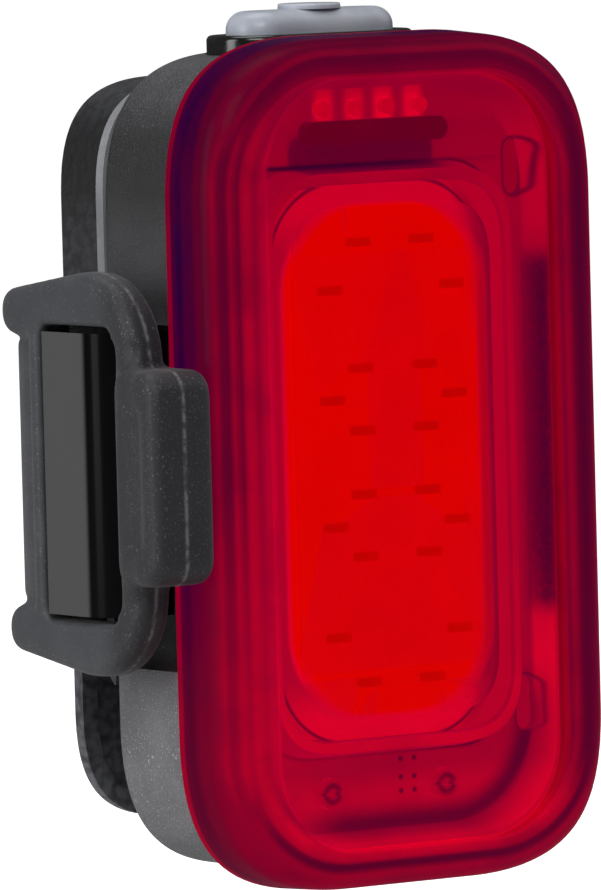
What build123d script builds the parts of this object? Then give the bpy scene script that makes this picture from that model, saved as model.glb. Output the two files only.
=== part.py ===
"""Rear light for a bicycle: a red lens over a glowing panel, a belt clip, and a rubber strap on a bracket.

The origin is the middle of the rubber saddle that rests against the seat post. Z is up, Y points
back to the post, and X is to the right for someone who looks at the lit lens.
"""
import os
from math import asin, cos, degrees, radians, sin, sqrt

from build123d import *

# The lens gives the light its size. The housing keeps a step inside it, and the clip a step inside that.
lens_width = 35.0
lens_height = 62.0
lens_overhang = 1.2
housing_width = lens_width - 2 * lens_overhang
housing_height = lens_height - 2 * lens_overhang

# Saddle and sleeve: what holds the light at the post.
post_radius = 15.9
pad_web = 0.7
pad_width = 15.0
pad_height = 18.0
sleeve_height = 20.5
sleeve_back_wall = 0.9
sleeve_side_wall = 0.9
sleeve_front_wall = 1.6
sleeve_rib_width = 2.0
sleeve_rib_spacing = 16.0
pad_groove_width = 1.2
pad_groove_depth = 0.4
pad_groove_pitch = 3.6
pad_groove_count = 5
pad_edge_radius = 0.8
slide_gap = 0.2
running_gap = 0.3

# Hooks at both sides of the sleeve, and the arms that carry them.
arm_wall = 2.1
hook_setback = 2.4
hook_length = 8.6
anchor_hook_length = 4.0
hook_reach = 3.3
hook_nose_radius = 3.1
hook_edge_radius = 0.5

# Belt clip: a block on the back of the housing with a tongue that hangs from it.
tongue_thickness = 1.4
tongue_side_step = 0.1
tongue_width = housing_width - 2 * tongue_side_step
tongue_end_rise = 3.35
tongue_corner = 8.0
tongue_edge_radius = 0.5
sleeve_corner = 2.2
tongue_pocket_inset = 1.3
tongue_pocket_depth = 0.5
block_depth = 4.9
block_top_drop = 1.8
block_rise = housing_height / 2 - block_top_drop
block_corner = 8.5
block_rest_gap = 0.1
base_plate_drop = 16.0
base_plate_overlap = 2.4
base_plate_bevel = 0.7
gasket_thickness = 0.9
clip_screw_x = 8.0
clip_screw_drop = 10.8
clip_screw_z = housing_height / 2 - clip_screw_drop
clip_screw_bite = 2.2

# Housing: the tub behind the lens. Its middle lies a little above the middle of the saddle.
light_rise = 0.1
housing_depth = 9.6
housing_corner = 11.0
housing_wall = 1.4
housing_back_wall = 1.2
housing_back_edge = 0.8
spigot_wall = 0.8
spigot_depth = 1.5
scoop_top = 10.5
scoop_bottom = 14.6
scoop_depth = 2.0
scoop_front_land = 1.4
scoop_radius = 1.8
corner_pull_share = 0.71

# Lens and its seal.
lens_corner = 12.0
lens_depth = 6.0
lens_draft = 0.3
lens_edge_radius = 2.4
lens_wall = 1.6
lens_front_wall = 1.4
lens_fit = 0.1
seal_thickness = 0.3

# Reflector tray behind the lens.
tray_setback = 0.2
tray_floor = 0.8
tray_wall = 0.9
tray_fit = 0.5
tray_flare = 1.1
tray_depth = 3.7
tray_post_radius = 1.5
platform_side_inset = 6.1
platform_end_inset = 9.5
platform_width = lens_width - 2 * platform_side_inset
platform_height = lens_height - 2 * platform_end_inset
platform_corner = 6.0
platform_rise = 2.3
platform_draft = 0.5
window_side_step = 0.95
window_end_step = 1.2
window_width = platform_width - 2 * window_side_step
window_height = platform_height - 2 * window_end_step
window_corner = 5.2
window_depth = 1.4
shelf_wall = 0.8
tray_slot_width = 1.8
tray_slot_height = 4.2
tray_slot_side_gap = 1.5
tray_slot_upper_drop = 0.8
tray_slot_lower_rise = 2.7
tray_slot_x = platform_width / 2 + tray_slot_side_gap
tray_slot_top = platform_height / 2 - tray_slot_upper_drop
tray_slot_bottom = platform_height / 2 - tray_slot_lower_rise
tray_screw_x = 5.1
tray_screw_gap = 2.6
tray_screw_z = platform_height / 2 + tray_screw_gap

# Glowing panel: its board, the chips on it, the cast silicone over them, and two leads.
panel_gap = 0.2
panel_board_thickness = 1.0
panel_gel_side_gap = 1.85
panel_gel_end_gap = 1.6
panel_gel_width = window_width - 2 * panel_gel_side_gap
panel_gel_height = window_height - 2 * panel_gel_end_gap
panel_gel_corner = 4.6
panel_gel_thickness = 1.1
panel_gel_edge = 0.4
chip_length = 1.7
chip_height = 0.6
chip_thickness = 0.7
chip_gap = 0.03
chip_inner_share = 0.1645
chip_outer_share = 0.3157
chip_inner_row_shares = (0.0618, 0.1832, 0.4275)
chip_outer_row_shares = (0.123, 0.3364)
panel_lead_x = 2.0
panel_lead_z = 17.0
lead_radius = 0.4
lead_gap = 0.2

# Charge gauge: small lamps on the board, clear pipes through the tray, and a dark baffle.
gauge_count = 4
gauge_pitch = 2.9
gauge_rise = 4.1
gauge_z = platform_height / 2 + gauge_rise
gauge_lamp_width = 1.6
gauge_lamp_height = 0.9
gauge_lamp_thickness = 0.6
gauge_pipe_radius = 0.6
gauge_pipe_gap = 0.05
gauge_pipe_proud = 0.5
baffle_width = 12.6
baffle_height = 1.7
baffle_thickness = 1.1
baffle_rise = 2.4
baffle_z = platform_height / 2 + baffle_rise

# Circuit board, its screws, and what is soldered to it.
board_gap = 1.0
board_thickness = 1.0
board_end_gap = 0.8
board_corner = 7.0
board_boss_radius = 1.7
board_boss_inset = 2.0
board_boss_drop = 4.2
board_screw_length = 3.4
screw_shank_radius = 0.6
screw_head_radius = 1.15
screw_head_height = 0.6
screw_slot_width = 0.3
screw_slot_depth = 0.25
screw_hole_gap = 0.1
switch_width = 7.2
switch_depth = 6.0
switch_height = 3.2
switch_drop = 2.1
plunger_radius = 1.2
plunger_gap = 0.05
plunger_rise = 1.2
plunger_seat = 1.0
socket_width = 8.94
socket_depth = 3.2
socket_length = 7.3
socket_setback = 1.1
socket_wall = 0.35
socket_corner = 1.4
socket_tongue_width = 6.7
socket_tongue_thickness = 0.7
socket_tongue_setback = 0.8
charger_width = 5.0
charger_height = 4.0
package_depth = 0.9
charger_z = 9.0
coil_radius = 2.2
coil_x = 7.6

# Battery, the guard board on its end, its pad and its leads.
battery_side_step = 0.6
battery_top_drop = 11.4
battery_boss_gap = 3.7
battery_thickness = 4.6
battery_corner = 1.2
battery_pad_inset = 2.0
guard_height = 2.4
guard_side_step = 2.0
guard_thickness = 3.0
battery_lead_x = 2.4
battery_lead_rise = 2.6
lead_bend = 1.0

# Button on top of the housing, in its bezel.
button_forward = 11.2
button_width = 13.8
button_depth = 5.2
button_crown = 1.7
button_edge_radius = 1.4
button_disc_radius = 2.3
button_disc_height = 0.4
button_disc_edge = 0.15
button_travel = 0.8
button_gap = 0.2
button_floor_gap = 0.1
stem_radius = 1.5
stem_hole_gap = 0.3
stem_to_plunger_gap = 0.05
bezel_end_wall = 1.3
bezel_side_wall = 0.9
bezel_height = 1.5
bezel_sink = 0.3
bezel_fit = 0.1
bezel_edge_radius = 0.4

# Rubber door over the charging socket, in the bottom of the housing, and its anchor.
door_width = 12.4
door_length = 7.2
door_thickness = 0.9
door_corner = 1.2
door_gap = 0.05
door_plug_depth = 0.8
door_plug_gap = 0.3
door_hinge_setback = 2.0
port_gap = 0.4
anchor_width = 5.0
anchor_stub = 0.8
anchor_head = 0.9
anchor_lip = 0.8

# Rubber strap: a ring at each end, a pull tab on the left one, and a band round the back.
ring_thickness = 3.0
ring_bar = 3.0
ring_front_gap = 0.5
ring_side_gap = 0.3
ring_end_gap = 0.5
ring_rear_gap = 0.3
ring_half_height = 14.6
ring_front_corner = 6.4
ring_flat_length = 7.5
ring_shoulder_radius = 5.0
ring_edge_radius = 0.8
ring_hole_corner = 1.0
ear_half_height = 13.1
ear_gap = 0.3
ear_reach = 3.4
ear_tip_radius = 1.55
strap_thickness = 1.6
strap_width = 19.0
strap_bend_radius = 5.4
strap_bend_setback = 1.9
strap_bow_radius = 34.0
hinge_share = 0.6
hinge_gap = 0.25
tab_height = 15.5
tab_rise = 0.1
tab_thickness = 5.4
tab_side_gap = 0.3
tab_overhang = 0.4
tab_root = 1.5
tab_corner = 1.8
tab_edge_radius = 0.9
tab_recess_length = 3.1
tab_recess_height = 10.6
tab_recess_depth = 0.3

# Stations, each a distance forward from the origin. They follow from the sizes above.
sleeve_rear = pad_web
slot_rear = sleeve_rear + sleeve_back_wall
tongue_rear = slot_rear + slide_gap
tongue_front = tongue_rear + tongue_thickness
slot_front = tongue_front + slide_gap
sleeve_front = slot_front + sleeve_front_wall
block_front = tongue_rear + block_depth
housing_rear = block_front + gasket_thickness
cavity_rear = housing_rear + housing_back_wall
rim = housing_rear + housing_depth
lens_rear = rim + seal_thickness
lens_front = rim + lens_depth
tray_rear = rim + tray_setback
tray_front = tray_rear + tray_floor
tray_edge = tray_rear + tray_depth
platform_front = tray_front + platform_rise
panel_rear = platform_front - window_depth
panel_front = panel_rear + panel_board_thickness
board_front = tray_rear - board_gap
board_rear = board_front - board_thickness
battery_rear = cavity_rear + running_gap
socket_forward = board_rear - socket_depth / 2
hook_rear = sleeve_front + hook_setback
hook_front = hook_rear + hook_length
anchor_hook_front = hook_rear + anchor_hook_length
ring_hole_rear = hook_rear - ring_rear_gap
ring_front = hook_front + ring_front_gap + ring_bar
bend_forward = hook_rear - strap_bend_setback
ear_end = bend_forward - ear_reach
tab_front = lens_front + tab_overhang
door_hinge = housing_rear + door_hinge_setback + door_thickness / 2

# Sides, heights and outlines that several pieces share.
housing_side = housing_width / 2
housing_top = light_rise + housing_height / 2
housing_bottom = light_rise - housing_height / 2
cavity_width = housing_width - 2 * housing_wall
cavity_height = housing_height - 2 * housing_wall
cavity_corner = housing_corner - housing_wall
cavity_top = housing_top - housing_wall
spigot_width = cavity_width + 2 * spigot_wall
spigot_height = cavity_height + 2 * spigot_wall
spigot_corner = cavity_corner + spigot_wall
seal_inner_width = spigot_width + 2 * lens_fit
seal_inner_height = spigot_height + 2 * lens_fit
seal_inner_corner = spigot_corner + lens_fit
scoop_height = scoop_top + scoop_bottom
scoop_z = light_rise + (scoop_top - scoop_bottom) / 2
scoop_front = rim - scoop_front_land
scoop_bulge_width = scoop_depth + housing_wall
scoop_bulge_x = housing_side - scoop_bulge_width / 2
board_width = 2 * (housing_side - scoop_bulge_width - running_gap)
board_height = cavity_height - 2 * board_end_gap
board_boss_x = board_width / 2 - board_boss_inset
board_boss_z = board_height / 2 - board_boss_drop
battery_width = board_width - 2 * battery_side_step
battery_top = board_boss_z - battery_top_drop
battery_height = battery_top + board_boss_z - board_boss_radius - battery_boss_gap
guard_width = battery_width - 2 * guard_side_step
tray_width = cavity_width - 2 * tray_fit
tray_height = cavity_height - 2 * tray_fit
tray_corner = cavity_corner - tray_fit
panel_board_width = window_width - 2 * panel_gap
panel_board_height = window_height - 2 * panel_gap
panel_board_corner = window_corner - panel_gap
tongue_side = tongue_width / 2
slot_side = tongue_side + slide_gap
sleeve_side = slot_side + sleeve_side_wall
arm_inner = housing_side + running_gap
arm_outer = arm_inner + arm_wall
ring_inner = arm_outer + ring_side_gap
ring_outer = ring_inner + ring_thickness
ring_middle = ring_inner + ring_thickness / 2
sleeve_top = sleeve_height / 2
block_bottom = sleeve_top + block_rest_gap
tongue_drop = block_bottom - housing_bottom - tongue_end_rise
base_plate_top = block_bottom + base_plate_overlap
base_plate_bottom = light_rise - base_plate_drop
base_plate_middle = (base_plate_top + base_plate_bottom) / 2
base_plate_height = base_plate_top - base_plate_bottom
clip_screw_length = clip_screw_bite + gasket_thickness + housing_back_wall
port_width = socket_width + 2 * port_gap
port_depth = socket_depth + 2 * port_gap
socket_mouth = housing_bottom + socket_setback
bezel_width = button_width + 2 * (button_gap + bezel_end_wall)
bezel_depth = button_depth + 2 * (button_gap + bezel_side_wall)
bezel_floor = housing_top - bezel_sink
bezel_top = bezel_floor + bezel_height
cap_bottom = bezel_floor + button_travel + button_floor_gap
cap_top = bezel_top + button_crown
switch_top = cavity_top - switch_drop
plunger_top = switch_top + plunger_rise
strap_half = strap_thickness / 2
bend_x = ring_middle - strap_bend_radius
bow_y = -bend_forward - sqrt((strap_bow_radius - strap_bend_radius) ** 2 - bend_x**2)
bend_turn = degrees(asin(bend_x / (strap_bow_radius - strap_bend_radius)))
hinge_angle = 180 - hinge_share * (90 - bend_turn)
hinge_x = -bend_x + strap_bend_radius * cos(radians(hinge_angle))
hinge_y = -bend_forward + strap_bend_radius * sin(radians(hinge_angle))

os.makedirs("parts", exist_ok=True)


def across(forward, rise=0.0):
    """Plane that faces forward, at a distance forward of the origin and a height above it."""
    return Plane(origin=(0, -forward, rise), x_dir=(1, 0, 0), z_dir=(0, -1, 0))


def level(height, forward=0.0):
    """Plane that faces up, at a height, centred at a distance forward of the origin."""
    return Plane(origin=(0, -forward, height), x_dir=(1, 0, 0), z_dir=(0, 0, 1))


def soft_rectangle(width, height, corner):
    """Rectangle whose corners turn in a fuller, smoother curve than a circle's arc."""
    half_width, half_height = width / 2, height / 2
    handle = corner * (1 - corner_pull_share)
    with BuildSketch() as shape:
        with BuildLine():
            for right, up in ((1, 1), (-1, 1), (-1, -1), (1, -1)):
                Bezier(
                    (right * half_width, up * (half_height - corner)),
                    (right * half_width, up * (half_height - handle)),
                    (right * (half_width - handle), up * half_height),
                    (right * (half_width - corner), up * half_height),
                )
            for side in (1, -1):
                Line((side * half_width, half_height - corner), (side * half_width, corner - half_height))
                Line((half_width - corner, side * half_height), (corner - half_width, side * half_height))
        make_face()
    return shape.sketch


def finish(piece, name):
    """Label a finished piece and write it to its file."""
    piece.part.label = name
    export_step(piece.part, f"parts/{name}.step")


def screw(forward, x, z, length):
    """Small pan-head screw that points back from a plane, with a slot across its head."""
    with BuildPart() as made:
        with BuildSketch(Plane(origin=(x, -forward, z), x_dir=(1, 0, 0), z_dir=(0, -1, 0))):
            Circle(screw_head_radius)
        extrude(amount=screw_head_height)
        with BuildSketch(Plane(origin=(x, -forward, z), x_dir=(1, 0, 0), z_dir=(0, -1, 0))):
            Circle(screw_shank_radius)
        extrude(amount=-length)
        with BuildSketch(Plane(made.faces().sort_by(Axis.Y)[0])):
            Rectangle(2 * screw_head_radius, screw_slot_width)
        extrude(amount=-screw_slot_depth, mode=Mode.SUBTRACT)
    return made.part


def soft_layer(width, height, corner, forward, thickness, rise=light_rise):
    """Plate with soft corners that stands on a plane facing forward."""
    with BuildPart() as layer:
        with BuildSketch(across(forward, rise)):
            add(soft_rectangle(width, height, corner))
        extrude(amount=thickness)
    return layer.part


def strip_sector(center, radius, start, end):
    """Curved stretch of the strap in plan, between two angles round a centre."""
    outer, inner = radius + strap_half, radius - strap_half
    with BuildSketch() as sector:
        with BuildLine():
            CenterArc(center, outer, start, end - start)
            CenterArc(center, inner, start, end - start)
            for angle in (radians(start), radians(end)):
                Line(
                    (center[0] + inner * cos(angle), center[1] + inner * sin(angle)),
                    (center[0] + outer * cos(angle), center[1] + outer * sin(angle)),
                )
        make_face()
    return sector.sketch


def strap_ring(near, hooked_to):
    """Flat rubber ring that goes over a hook, with a bar in front and two ears behind."""
    hole_front = hooked_to + ring_front_gap
    front = hole_front + ring_bar
    flat_end = ring_flat_length - front
    ear_inner = strap_width / 2 + ear_gap
    upper = [
        (-bend_forward, ear_inner),
        (-ear_end, ear_inner),
        (-ear_end, ear_half_height),
        (flat_end, ring_half_height),
        (-front, ring_half_height),
    ]
    lower = [(y, -z) for y, z in reversed(upper)]
    with BuildPart() as ring:
        with BuildSketch(Plane.YZ.offset(near)) as outline:
            Polygon(*upper, *lower, align=None)
            columns = outline.vertices().group_by(Axis.X)
            fillet(columns[0], radius=ring_front_corner)
            fillet(columns[1], radius=ring_shoulder_radius)
            fillet(outline.vertices().group_by(Axis.X)[-1], radius=ear_tip_radius)
        extrude(amount=ring_thickness)
        fillet(ring.faces().filter_by(Axis.X).edges(), radius=ring_edge_radius)
        with BuildSketch(Plane.YZ.offset(near)):
            with Locations((-(hole_front + ring_hole_rear) / 2, 0)):
                RectangleRounded(
                    hole_front - ring_hole_rear, sleeve_height + 2 * ring_end_gap, ring_hole_corner
                )
        extrude(amount=ring_thickness, mode=Mode.SUBTRACT)
    return ring.part


# Lens: a deep red cap that slips over the front of the housing.
with BuildPart() as lens_cover:
    with BuildSketch(across(lens_rear, light_rise)):
        add(soft_rectangle(lens_width, lens_height, lens_corner))
    with BuildSketch(across(lens_front, light_rise)):
        narrow = 2 * lens_draft
        add(soft_rectangle(lens_width - narrow, lens_height - narrow, lens_corner - lens_draft))
    loft()
    fillet(lens_cover.faces().sort_by(Axis.Y)[0].edges(), radius=lens_edge_radius)
    with BuildSketch(across(lens_rear, light_rise)):
        add(soft_rectangle(lens_width - 2 * lens_wall, lens_height - 2 * lens_wall, lens_corner - lens_wall))
    extrude(amount=lens_front - lens_rear - lens_front_wall, mode=Mode.SUBTRACT)
finish(lens_cover, "lens_cover")

# Seal: a thin rubber frame between the rear edge of the lens and the housing.
with BuildPart() as lens_seal:
    with BuildSketch(across(rim, light_rise)):
        add(soft_rectangle(housing_width, housing_height, housing_corner))
        add(soft_rectangle(seal_inner_width, seal_inner_height, seal_inner_corner), mode=Mode.SUBTRACT)
    extrude(amount=seal_thickness)
finish(lens_seal, "lens_seal")

# Housing: tub, spigot for the lens, side scoops under the strap rings, bosses and ports.
with BuildPart() as front_housing:
    add(soft_layer(housing_width, housing_height, housing_corner, housing_rear, housing_depth))
    fillet(front_housing.faces().sort_by(Axis.Y)[-1].edges(), radius=housing_back_edge)
    add(soft_layer(spigot_width, spigot_height, spigot_corner, rim, spigot_depth))
    tub_depth = rim + spigot_depth - cavity_rear
    add(soft_layer(cavity_width, cavity_height, cavity_corner, cavity_rear, tub_depth), mode=Mode.SUBTRACT)
    # The wall bulges inwards behind each scoop, and the scoop is then cut into it.
    with BuildSketch(across(cavity_rear, scoop_z)):
        with Locations((scoop_bulge_x, 0), (-scoop_bulge_x, 0)):
            Rectangle(scoop_bulge_width, scoop_height + 2 * housing_wall)
    extrude(amount=scoop_front + housing_wall - cavity_rear)
    with BuildSketch(across(housing_rear, scoop_z)):
        with Locations((housing_side, 0), (-housing_side, 0)):
            RectangleRounded(2 * scoop_depth, scoop_height, scoop_radius)
    extrude(amount=scoop_front - housing_rear, mode=Mode.SUBTRACT)
    with BuildSketch(across(cavity_rear, light_rise)):
        with GridLocations(2 * board_boss_x, 2 * board_boss_z, 2, 2):
            Circle(board_boss_radius)
            Circle(screw_shank_radius + screw_hole_gap, mode=Mode.SUBTRACT)
    extrude(amount=board_rear - cavity_rear)
    with BuildSketch(across(housing_rear, light_rise + clip_screw_z)):
        with Locations((clip_screw_x, 0), (-clip_screw_x, 0)):
            Circle(screw_shank_radius + screw_hole_gap)
    extrude(amount=housing_back_wall, mode=Mode.SUBTRACT)
    with BuildSketch(level(bezel_floor, button_forward)):
        SlotOverall(bezel_width + 2 * bezel_fit, bezel_depth + 2 * bezel_fit)
    extrude(amount=bezel_height, mode=Mode.SUBTRACT)
    with BuildSketch(level(cavity_top, button_forward)):
        Circle(stem_radius + stem_hole_gap)
    extrude(amount=housing_wall, mode=Mode.SUBTRACT)
    with BuildSketch(level(housing_bottom, socket_forward)):
        Rectangle(port_width, port_depth)
    extrude(amount=housing_wall, mode=Mode.SUBTRACT)
    with BuildSketch(level(housing_bottom, door_hinge)):
        Rectangle(anchor_width, anchor_stub)
    extrude(amount=housing_wall, mode=Mode.SUBTRACT)
finish(front_housing, "front_housing")

# Clip: a block and a base plate on the back of the housing, and the tongue that hangs from them.
tongue_middle = block_bottom - tongue_drop / 2
with BuildPart() as clip_block:
    with BuildSketch(across(tongue_rear, light_rise)):
        add(soft_rectangle(tongue_width, 2 * block_rise, block_corner))
        with Locations((0, block_bottom - light_rise - block_rise)):
            Rectangle(tongue_width, 2 * block_rise, mode=Mode.SUBTRACT)
    extrude(amount=block_depth)
    with BuildSketch(across(tongue_rear, tongue_middle)):
        add(soft_rectangle(tongue_width, tongue_drop, tongue_corner))
        with Locations((0, tongue_drop / 2 - tongue_corner / 2)):
            Rectangle(tongue_width, tongue_corner)
    extrude(amount=tongue_thickness)
    back_edges = clip_block.faces().sort_by(Axis.Y)[-1].edges()
    fillet(back_edges, radius=tongue_edge_radius)
    with BuildSketch(across(block_front, base_plate_middle)):
        Rectangle(tongue_width, base_plate_height)
    extrude(amount=gasket_thickness)
    plate_end = clip_block.faces().filter_by(Axis.Z).group_by(Axis.Y)[0].sort_by(Axis.Z)[0]
    chamfer(plate_end.edges().sort_by(Axis.Y)[-1], length=base_plate_bevel)
    pocket_height = tongue_drop - 2 * tongue_pocket_inset
    pocket_width = tongue_width - 2 * tongue_pocket_inset
    with BuildSketch(across(tongue_front, tongue_middle)):
        add(soft_rectangle(pocket_width, pocket_height, tongue_corner - tongue_pocket_inset))
    extrude(amount=-tongue_pocket_depth, mode=Mode.SUBTRACT)
    with BuildSketch(across(block_front, light_rise + clip_screw_z)):
        with Locations((clip_screw_x, 0), (-clip_screw_x, 0)):
            Circle(screw_shank_radius + screw_hole_gap)
    extrude(amount=-(clip_screw_bite + screw_hole_gap), mode=Mode.SUBTRACT)
finish(clip_block, "clip_block")

# Gasket: the pale layer between the block and the housing, above the base plate.
with BuildPart() as clip_gasket:
    with BuildSketch(across(block_front, light_rise)):
        add(soft_rectangle(tongue_width, 2 * block_rise, block_corner))
        with Locations((0, base_plate_top - light_rise - block_rise)):
            Rectangle(tongue_width, 2 * block_rise, mode=Mode.SUBTRACT)
        with Locations((clip_screw_x, clip_screw_z), (-clip_screw_x, clip_screw_z)):
            Circle(screw_shank_radius + screw_hole_gap, mode=Mode.SUBTRACT)
    extrude(amount=gasket_thickness)
finish(clip_gasket, "clip_gasket")

# Two screws that hold the block from inside the housing.
with BuildPart() as clip_screws:
    for x in (-clip_screw_x, clip_screw_x):
        add(screw(cavity_rear, x, light_rise + clip_screw_z, clip_screw_length))
finish(clip_screws, "clip_screws")

# Tray: a floor with a flared wall, a platform with a window, slots, posts and screw holes.
front_width = tray_width + 2 * tray_flare
front_height = tray_height + 2 * tray_flare
front_corner = tray_corner + tray_flare
with BuildPart() as reflector_tray:
    with BuildSketch(across(tray_rear, light_rise)):
        add(soft_rectangle(tray_width, tray_height, tray_corner))
    with BuildSketch(across(tray_edge, light_rise)):
        add(soft_rectangle(front_width, front_height, front_corner))
    loft()
    both_walls = 2 * tray_wall
    with BuildSketch(across(tray_front, light_rise)):
        add(soft_rectangle(tray_width - both_walls, tray_height - both_walls, tray_corner - tray_wall))
    with BuildSketch(across(tray_edge, light_rise)):
        add(soft_rectangle(front_width - both_walls, front_height - both_walls, front_corner - tray_wall))
    loft(mode=Mode.SUBTRACT)
    with BuildSketch(across(tray_front, light_rise)):
        add(soft_rectangle(platform_width, platform_height, platform_corner))
    with BuildSketch(across(platform_front, light_rise)):
        narrow = 2 * platform_draft
        add(soft_rectangle(platform_width - narrow, platform_height - narrow, platform_corner - platform_draft))
    loft()
    add(
        soft_layer(window_width, window_height, window_corner, panel_rear, window_depth),
        mode=Mode.SUBTRACT,
    )
    under_width = platform_width - 2 * shelf_wall
    under_height = platform_height - 2 * shelf_wall
    under_depth = panel_rear - shelf_wall - tray_rear
    add(
        soft_layer(under_width, under_height, platform_corner - shelf_wall, tray_rear, under_depth),
        mode=Mode.SUBTRACT,
    )
    with BuildSketch(across(panel_rear, light_rise + panel_lead_z)):
        with Locations((panel_lead_x, 0), (-panel_lead_x, 0)):
            Circle(lead_radius + lead_gap)
    extrude(amount=-shelf_wall, mode=Mode.SUBTRACT)
    with BuildSketch(across(board_front, light_rise)):
        with Locations((tray_screw_x, -tray_screw_z), (-tray_screw_x, -tray_screw_z)):
            Circle(tray_post_radius)
    extrude(amount=board_gap)
    with BuildSketch(across(board_front, light_rise)):
        with Locations((tray_screw_x, -tray_screw_z), (-tray_screw_x, -tray_screw_z)):
            Circle(screw_shank_radius + screw_hole_gap)
    extrude(amount=tray_front - board_front, mode=Mode.SUBTRACT)
    with BuildSketch(across(tray_rear, light_rise)):
        with Locations(
            (tray_slot_x, tray_slot_top),
            (-tray_slot_x, tray_slot_top),
            (tray_slot_x, -tray_slot_bottom),
            (-tray_slot_x, -tray_slot_bottom),
        ):
            SlotOverall(tray_slot_height, tray_slot_width, rotation=90)
        with Locations((0, gauge_z)):
            with GridLocations(gauge_pitch, 0, gauge_count, 1):
                Circle(gauge_pipe_radius + gauge_pipe_gap)
    extrude(amount=tray_floor, mode=Mode.SUBTRACT)
finish(reflector_tray, "reflector_tray")

# Two screws that join the tray to the circuit board.
with BuildPart() as tray_screws:
    for x in (-tray_screw_x, tray_screw_x):
        add(screw(tray_front, x, light_rise - tray_screw_z, tray_front - board_rear))
finish(tray_screws, "tray_screws")

# Glowing panel: board, chips, silicone and leads.
chip_columns = ((chip_inner_share, chip_inner_row_shares), (chip_outer_share, chip_outer_row_shares))
chip_places = []
for side in (-panel_gel_width, panel_gel_width):
    for end in (-panel_gel_height, panel_gel_height):
        for across_share, row_shares in chip_columns:
            chip_places += [(side * across_share, end * row_share) for row_share in row_shares]

with BuildPart() as panel_board:
    board_size = (panel_board_width, panel_board_height, panel_board_corner)
    add(soft_layer(*board_size, panel_rear, panel_board_thickness))
finish(panel_board, "panel_board")

with BuildPart() as panel_chips:
    with BuildSketch(across(panel_front, light_rise)):
        with Locations(*chip_places):
            Rectangle(chip_length, chip_height)
    extrude(amount=chip_thickness)
finish(panel_chips, "panel_chips")

with BuildPart() as panel_gel:
    add(soft_layer(panel_gel_width, panel_gel_height, panel_gel_corner, panel_front, panel_gel_thickness))
    fillet(panel_gel.faces().sort_by(Axis.Y)[0].edges(), radius=panel_gel_edge)
    with BuildSketch(across(panel_front, light_rise)):
        with Locations(*chip_places):
            Rectangle(chip_length + 2 * chip_gap, chip_height + 2 * chip_gap)
    extrude(amount=chip_thickness + chip_gap, mode=Mode.SUBTRACT)
finish(panel_gel, "panel_gel")

with BuildPart() as panel_leads:
    with BuildSketch(across(board_front, light_rise + panel_lead_z)):
        with Locations((panel_lead_x, 0), (-panel_lead_x, 0)):
            Circle(lead_radius)
    extrude(amount=panel_rear - board_front)
finish(panel_leads, "panel_leads")

# Charge gauge: lamps on the board, clear pipes through the tray, and the baffle below them.
with BuildPart() as gauge_lamps:
    with BuildSketch(across(board_front, light_rise + gauge_z)):
        with GridLocations(gauge_pitch, 0, gauge_count, 1):
            Rectangle(gauge_lamp_width, gauge_lamp_height)
    extrude(amount=gauge_lamp_thickness)
finish(gauge_lamps, "gauge_lamps")

with BuildPart() as gauge_pipes:
    with BuildSketch(across(board_front + gauge_lamp_thickness, light_rise + gauge_z)):
        with GridLocations(gauge_pitch, 0, gauge_count, 1):
            Circle(gauge_pipe_radius)
    extrude(amount=tray_front + gauge_pipe_proud - board_front - gauge_lamp_thickness)
finish(gauge_pipes, "gauge_pipes")

with BuildPart() as gauge_baffle:
    with BuildSketch(across(tray_front, light_rise + baffle_z)):
        SlotOverall(baffle_width, baffle_height)
    extrude(amount=baffle_thickness)
finish(gauge_baffle, "gauge_baffle")

# Circuit board with its screws, the switch, the socket and the larger packages.
with BuildPart() as main_board:
    with BuildSketch(across(board_rear, light_rise)):
        add(soft_rectangle(board_width, board_height, board_corner))
        with GridLocations(2 * board_boss_x, 2 * board_boss_z, 2, 2):
            Circle(screw_shank_radius + screw_hole_gap, mode=Mode.SUBTRACT)
        with Locations((tray_screw_x, -tray_screw_z), (-tray_screw_x, -tray_screw_z)):
            Circle(screw_shank_radius + screw_hole_gap, mode=Mode.SUBTRACT)
    extrude(amount=board_thickness)
finish(main_board, "main_board")

with BuildPart() as board_screws:
    for x in (-board_boss_x, board_boss_x):
        for z in (-board_boss_z, board_boss_z):
            add(screw(board_front, x, light_rise + z, board_screw_length))
finish(board_screws, "board_screws")

with BuildPart() as board_packages:
    with BuildSketch(across(board_rear, light_rise + charger_z)):
        Rectangle(charger_width, charger_height)
        with Locations((coil_x, 0)):
            Circle(coil_radius)
        with Locations((-coil_x, 0)):
            Rectangle(charger_height, charger_height)
    extrude(amount=-package_depth)
finish(board_packages, "board_packages")

with BuildPart() as switch_body:
    with BuildSketch(level(switch_top, board_rear - switch_depth / 2)):
        Rectangle(switch_width, switch_depth)
    extrude(amount=-switch_height)
    with BuildSketch(level(switch_top, button_forward)):
        Circle(plunger_radius + plunger_gap)
    extrude(amount=-(plunger_seat + button_travel + button_floor_gap), mode=Mode.SUBTRACT)
finish(switch_body, "switch_body")

with BuildPart() as switch_plunger:
    with BuildSketch(level(switch_top - plunger_seat, button_forward)):
        Circle(plunger_radius)
    extrude(amount=plunger_seat + plunger_rise)
finish(switch_plunger, "switch_plunger")

with BuildPart() as socket_shell:
    with BuildSketch(level(socket_mouth, socket_forward)):
        RectangleRounded(socket_width, socket_depth, socket_corner)
    extrude(amount=socket_length)
    with BuildSketch(level(socket_mouth, socket_forward)):
        inner_depth = socket_depth - 2 * socket_wall
        RectangleRounded(socket_width - 2 * socket_wall, inner_depth, socket_corner - socket_wall)
    extrude(amount=socket_length - socket_wall, mode=Mode.SUBTRACT)
finish(socket_shell, "socket_shell")

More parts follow.
